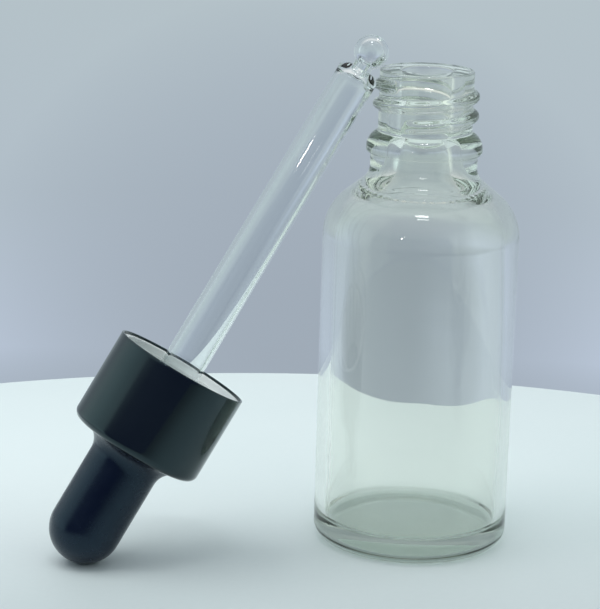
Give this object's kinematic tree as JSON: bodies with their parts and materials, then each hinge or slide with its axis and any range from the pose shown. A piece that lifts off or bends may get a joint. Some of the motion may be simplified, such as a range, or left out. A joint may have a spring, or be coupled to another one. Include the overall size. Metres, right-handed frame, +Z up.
{
  "type": "glass dropper bottle",
  "caption": "Clear glass dropper bottle with a threaded neck, and its screw-cap dropper taken off: a rubber bulb, a black cap and a ball-tipped glass pipette leant on the neck.",
  "frame": {"origin": "centre of the bottle's base, in the plane of the ring that it stands on", "axes": "+Z up the bottle's axis and out of its neck; the dropper stands on the -X side and leans towards +X, in the XZ plane"},
  "size_m": [0.0797, 0.033, 0.0868],
  "materials": {
    "bottle_glass": "clear, with a faint grey-green in the thick base",
    "tube_glass": "clear, flame polished",
    "rubber": "satin black",
    "inner_plastic": "smooth white",
    "shell_metal": "satin black anodised"
  },
  "bodies": {
    "bottle_body": {"bottle": "bottle_glass"},
    "stem": {"pipette": "tube_glass"},
    "cap": {"inner_cap": "inner_plastic", "overshell": "shell_metal"},
    "bulb_body": {"bulb": "rubber"}
  },
  "joints": [
    {"name": "dropper_lift", "type": "slide", "parent": "bottle_body", "child": "stem", "axis": [0, 0, 1], "range_m": [0, 0.1]},
    {"name": "cap_turn", "type": "hinge", "parent": "stem", "child": "cap", "pos_m": [-0.05712, 0, 0.00605], "axis": [0.5179, 0, 0.8554], "continuous": true},
    {"name": "bulb_squeeze", "type": "slide", "parent": "stem", "child": "bulb_body", "axis": [0.5179, 0, 0.8554], "range_m": [0, 0.004], "stiffness_N_per_m": 350, "deforming": ["bulb"]}
  ]
}
